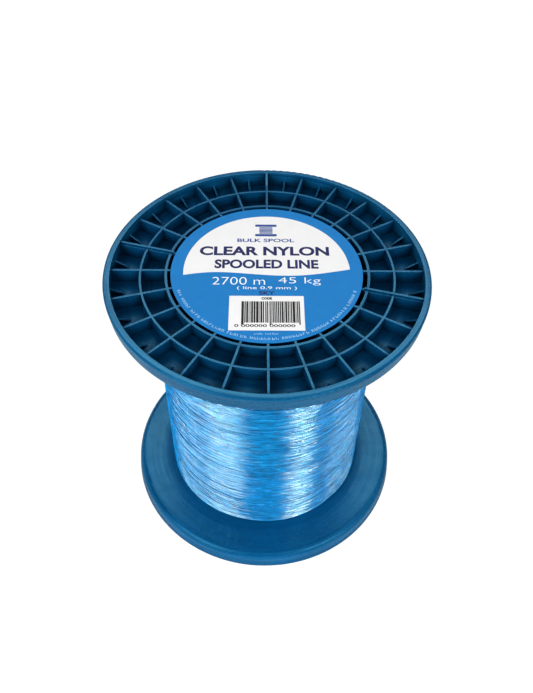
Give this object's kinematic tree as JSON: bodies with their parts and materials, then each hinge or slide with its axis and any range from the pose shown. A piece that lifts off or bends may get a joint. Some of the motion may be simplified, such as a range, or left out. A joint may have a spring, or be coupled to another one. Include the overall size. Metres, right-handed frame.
{
  "type": "fishing line spool",
  "caption": "Bulk spool of clear blue monofilament fishing line: two ribbed plastic flanges pushed on a barrel tube, wound line pack, round label over the bore, free line end.",
  "frame": {"origin": "on the spool axis, in the plane of the lower flange's rim land that the spool stands on", "axes": "+Z along the spool axis from the lower flange to the upper flange, -Y the side the label reads from, +X to the reader's right"},
  "size_m": [0.1996, 0.1996, 0.204],
  "materials": {
    "flange_plastic": "moulded blue polystyrene, satin, slightly scuffed",
    "barrel_plastic": "extruded blue polystyrene tube, satin",
    "nylon_line": "clear blue nylon monofilament, glossy",
    "clear_tape": "clear adhesive tape",
    "label_stock": "printed coated paper, blue with an off-white field"
  },
  "bodies": {
    "spool": {"upper_flange": "flange_plastic", "lower_flange": "flange_plastic", "barrel_tube": "barrel_plastic", "wound_line": "nylon_line", "tail_tape": "clear_tape", "start_tape": "clear_tape", "upper_label": "label_stock"},
    "line_end": {"line_tail": "nylon_line"}
  },
  "joints": [
    {"name": "line_end_lift", "type": "hinge", "parent": "spool", "child": "line_end", "pos_m": [-0.02344, 0.06808, 0.12], "axis": [0, 0, -1], "range_deg": [0, 70]}
  ]
}
